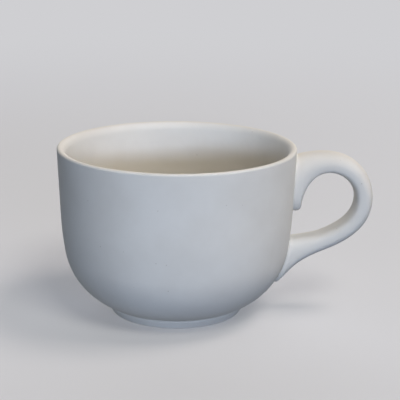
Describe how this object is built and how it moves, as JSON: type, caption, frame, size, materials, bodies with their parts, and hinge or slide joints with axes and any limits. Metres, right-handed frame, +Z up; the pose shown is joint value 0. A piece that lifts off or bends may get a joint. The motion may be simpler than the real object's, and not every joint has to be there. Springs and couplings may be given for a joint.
{
  "type": "cappuccino cup",
  "caption": "Wide ceramic cup with a straight, slightly flared wall, a round belly on a low foot ring and an oval loop handle, for hot milky coffee or soup.",
  "frame": {"origin": "centre of the foot ring, on the plane that the cup stands on", "axes": "+Z up along the bowl's axis, +X towards the handle, the XZ plane mirrors the cup"},
  "size_m": [0.1512, 0.114, 0.0809],
  "materials": {
    "bisque": "matt, unglazed, sponged smooth",
    "slip": "matt, unglazed"
  },
  "bodies": {
    "root": {"bowl": "bisque", "foot_ring": "bisque", "foot_lute": "slip", "handle": "bisque", "upper_lute": "slip", "lower_lute": "slip"}
  },
  "joints": []
}
